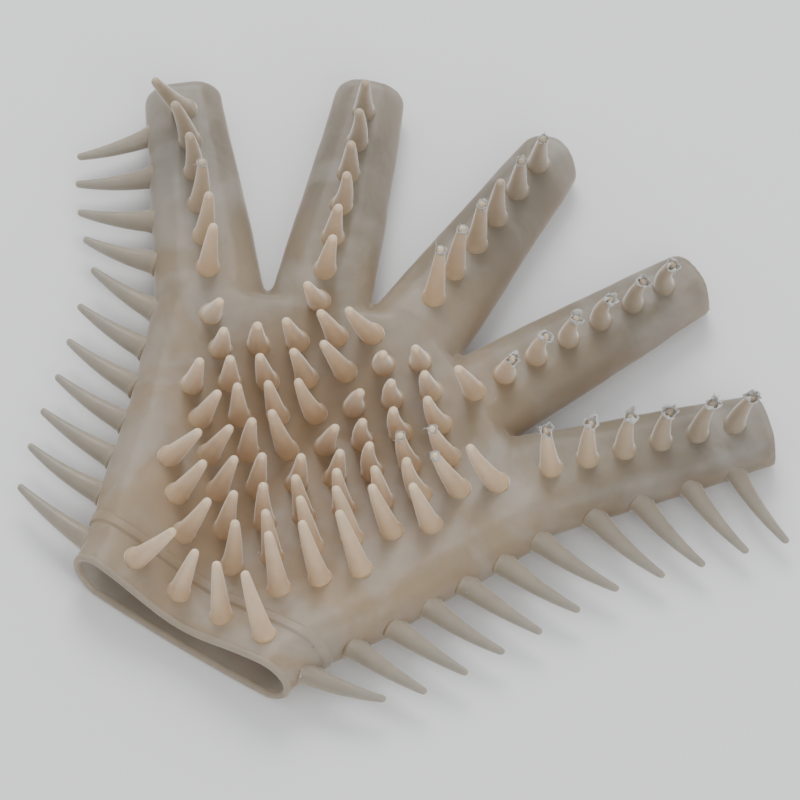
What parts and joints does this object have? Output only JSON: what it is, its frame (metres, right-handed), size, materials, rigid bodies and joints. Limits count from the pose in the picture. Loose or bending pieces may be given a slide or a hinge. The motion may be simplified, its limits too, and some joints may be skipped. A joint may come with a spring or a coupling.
{
  "type": "grooming glove",
  "caption": "Hollow five-finger silicone grooming glove with tapering nubs on the palm side, spikes along both outer edges and a beaded cuff.",
  "frame": {"origin": "on the flat back of the glove, under the middle of the palm, 85 mm from the cuff's mouth", "axes": "+Z out of the palm side, +Y from the cuff towards the middle fingertip, +X towards the thumb"},
  "size_m": [0.2688, 0.2143, 0.0448],
  "materials": {
    "silicone_skin": "translucent warm grey silicone, satin",
    "silicone_cuff": "translucent grey silicone, satin, thicker at the bead",
    "silicone_nubs": "translucent pale beige silicone, satin",
    "silicone_spikes": "clear-edged grey silicone, satin"
  },
  "bodies": {
    "palm": {"cuff_bead": "silicone_cuff", "cuff_band": "silicone_cuff", "wrist_ridge": "silicone_cuff", "palm_wall": "silicone_skin", "back_wall": "silicone_skin", "cuff_nubs": "silicone_nubs", "palm_nubs_01": "silicone_nubs", "palm_nubs_02": "silicone_nubs", "palm_nubs_03": "silicone_nubs", "palm_nubs_04": "silicone_nubs", "palm_nubs_05": "silicone_nubs", "palm_nubs_06": "silicone_nubs", "palm_nubs_07": "silicone_nubs", "palm_nubs_08": "silicone_nubs", "palm_nubs_09": "silicone_nubs", "palm_nubs_10": "silicone_nubs", "palm_nubs_11": "silicone_nubs", "palm_nubs_12": "silicone_nubs", "cuff_spike_little_side": "silicone_spikes", "palm_spikes_little_side": "silicone_spikes", "cuff_spike_thumb_side": "silicone_spikes", "palm_spikes_thumb_side": "silicone_spikes"},
    "little_base": {"little_sleeve_base": "silicone_skin", "little_nubs_base": "silicone_nubs", "little_spikes_base": "silicone_spikes"},
    "little_mid": {"little_sleeve_mid": "silicone_skin", "little_nubs_mid": "silicone_nubs", "little_spikes_mid": "silicone_spikes"},
    "little_tip": {"little_sleeve_tip": "silicone_skin", "little_nubs_tip": "silicone_nubs", "little_spikes_tip": "silicone_spikes"},
    "ring_base": {"ring_sleeve_base": "silicone_skin", "ring_nubs_base": "silicone_nubs"},
    "ring_mid": {"ring_sleeve_mid": "silicone_skin", "ring_nubs_mid": "silicone_nubs"},
    "ring_tip": {"ring_sleeve_tip": "silicone_skin", "ring_nubs_tip": "silicone_nubs"},
    "middle_base": {"middle_sleeve_base": "silicone_skin", "middle_nubs_base": "silicone_nubs"},
    "middle_mid": {"middle_sleeve_mid": "silicone_skin", "middle_nubs_mid": "silicone_nubs"},
    "middle_tip": {"middle_sleeve_tip": "silicone_skin", "middle_nubs_tip": "silicone_nubs"},
    "index_base": {"index_sleeve_base": "silicone_skin", "index_nubs_base": "silicone_nubs"},
    "index_mid": {"index_sleeve_mid": "silicone_skin", "index_nubs_mid": "silicone_nubs"},
    "index_tip": {"index_sleeve_tip": "silicone_skin", "index_nubs_tip": "silicone_nubs"},
    "thumb_base": {"thumb_sleeve_base": "silicone_skin", "thumb_nubs_base": "silicone_nubs", "thumb_spikes_base": "silicone_spikes"},
    "thumb_tip": {"thumb_sleeve_tip": "silicone_skin", "thumb_nubs_tip": "silicone_nubs", "thumb_spikes_tip": "silicone_spikes"}
  },
  "joints": [
    {"name": "little_knuckle", "type": "hinge", "parent": "palm", "child": "little_base", "pos_m": [-0.06309, 0.02234, 0.02015], "axis": [0.8462, 0.5329, 0], "range_deg": [0, 40], "stiffness_Nm_per_rad": 0.03, "deforming": ["little_nubs_base"]},
    {"name": "little_middle_joint", "type": "hinge", "parent": "little_base", "child": "little_mid", "pos_m": [-0.07759, 0.03959, 0.01887], "axis": [0.766, 0.6428, 0], "range_deg": [0, 40], "stiffness_Nm_per_rad": 0.03, "deforming": ["little_nubs_mid"]},
    {"name": "little_end_joint", "type": "hinge", "parent": "little_mid", "child": "little_tip", "pos_m": [-0.09064, 0.05514, 0.01782], "axis": [0.766, 0.6428, 0], "range_deg": [0, 24], "stiffness_Nm_per_rad": 0.03, "deforming": ["little_nubs_tip"]},
    {"name": "ring_knuckle", "type": "hinge", "parent": "palm", "child": "ring_base", "pos_m": [-0.03218, 0.04025, 0.02015], "axis": [0.8838, 0.4679, 0], "range_deg": [0, 40], "stiffness_Nm_per_rad": 0.03, "deforming": ["ring_nubs_base"]},
    {"name": "ring_middle_joint", "type": "hinge", "parent": "ring_base", "child": "ring_mid", "pos_m": [-0.04159, 0.06312, 0.01882], "axis": [0.9245, 0.3811, 0], "range_deg": [0, 40], "stiffness_Nm_per_rad": 0.03, "deforming": ["ring_nubs_mid"]},
    {"name": "ring_end_joint", "type": "hinge", "parent": "ring_mid", "child": "ring_tip", "pos_m": [-0.05096, 0.08586, 0.01761], "axis": [0.9245, 0.3811, 0], "range_deg": [0, 24], "stiffness_Nm_per_rad": 0.03, "deforming": ["ring_nubs_tip"]},
    {"name": "middle_knuckle", "type": "hinge", "parent": "palm", "child": "middle_base", "pos_m": [0, 0.04847, 0.02015], "axis": [1, 0, 0], "range_deg": [0, 40], "stiffness_Nm_per_rad": 0.03, "deforming": ["middle_nubs_base"]},
    {"name": "middle_middle_joint", "type": "hinge", "parent": "middle_base", "child": "middle_mid", "pos_m": [0, 0.0752, 0.01872], "axis": [1, 0, 0], "range_deg": [0, 40], "stiffness_Nm_per_rad": 0.03, "deforming": ["middle_nubs_mid"]},
    {"name": "middle_end_joint", "type": "hinge", "parent": "middle_mid", "child": "middle_tip", "pos_m": [0, 0.0997, 0.01751], "axis": [1, 0, 0], "range_deg": [0, 24], "stiffness_Nm_per_rad": 0.03, "deforming": ["middle_nubs_tip"]},
    {"name": "index_knuckle", "type": "hinge", "parent": "palm", "child": "index_base", "pos_m": [0.03218, 0.04025, 0.02015], "axis": [0.8838, -0.4679, 0], "range_deg": [0, 40], "stiffness_Nm_per_rad": 0.03, "deforming": ["index_nubs_base"]},
    {"name": "index_middle_joint", "type": "hinge", "parent": "index_base", "child": "index_mid", "pos_m": [0.04159, 0.06312, 0.01882], "axis": [0.9245, -0.3811, 0], "range_deg": [0, 40], "stiffness_Nm_per_rad": 0.03, "deforming": ["index_nubs_mid"]},
    {"name": "index_end_joint", "type": "hinge", "parent": "index_mid", "child": "index_tip", "pos_m": [0.05096, 0.08586, 0.01761], "axis": [0.9245, -0.3811, 0], "range_deg": [0, 24], "stiffness_Nm_per_rad": 0.03, "deforming": ["index_nubs_tip"]},
    {"name": "thumb_knuckle", "type": "hinge", "parent": "palm", "child": "thumb_base", "pos_m": [0.06309, 0.02234, 0.02015], "axis": [0.8462, -0.5329, 0], "range_deg": [0, 40], "stiffness_Nm_per_rad": 0.03, "deforming": ["thumb_nubs_base"]},
    {"name": "thumb_end_joint", "type": "hinge", "parent": "thumb_base", "child": "thumb_tip", "pos_m": [0.08531, 0.04878, 0.01825], "axis": [0.766, -0.6428, 0], "range_deg": [0, 40], "stiffness_Nm_per_rad": 0.03, "deforming": ["thumb_nubs_tip"]}
  ],
  "couplings": [
    {"joint": "little_end_joint", "follows": "little_middle_joint", "ratio": 0.6},
    {"joint": "ring_end_joint", "follows": "ring_middle_joint", "ratio": 0.6},
    {"joint": "middle_end_joint", "follows": "middle_middle_joint", "ratio": 0.6},
    {"joint": "index_end_joint", "follows": "index_middle_joint", "ratio": 0.6}
  ]
}
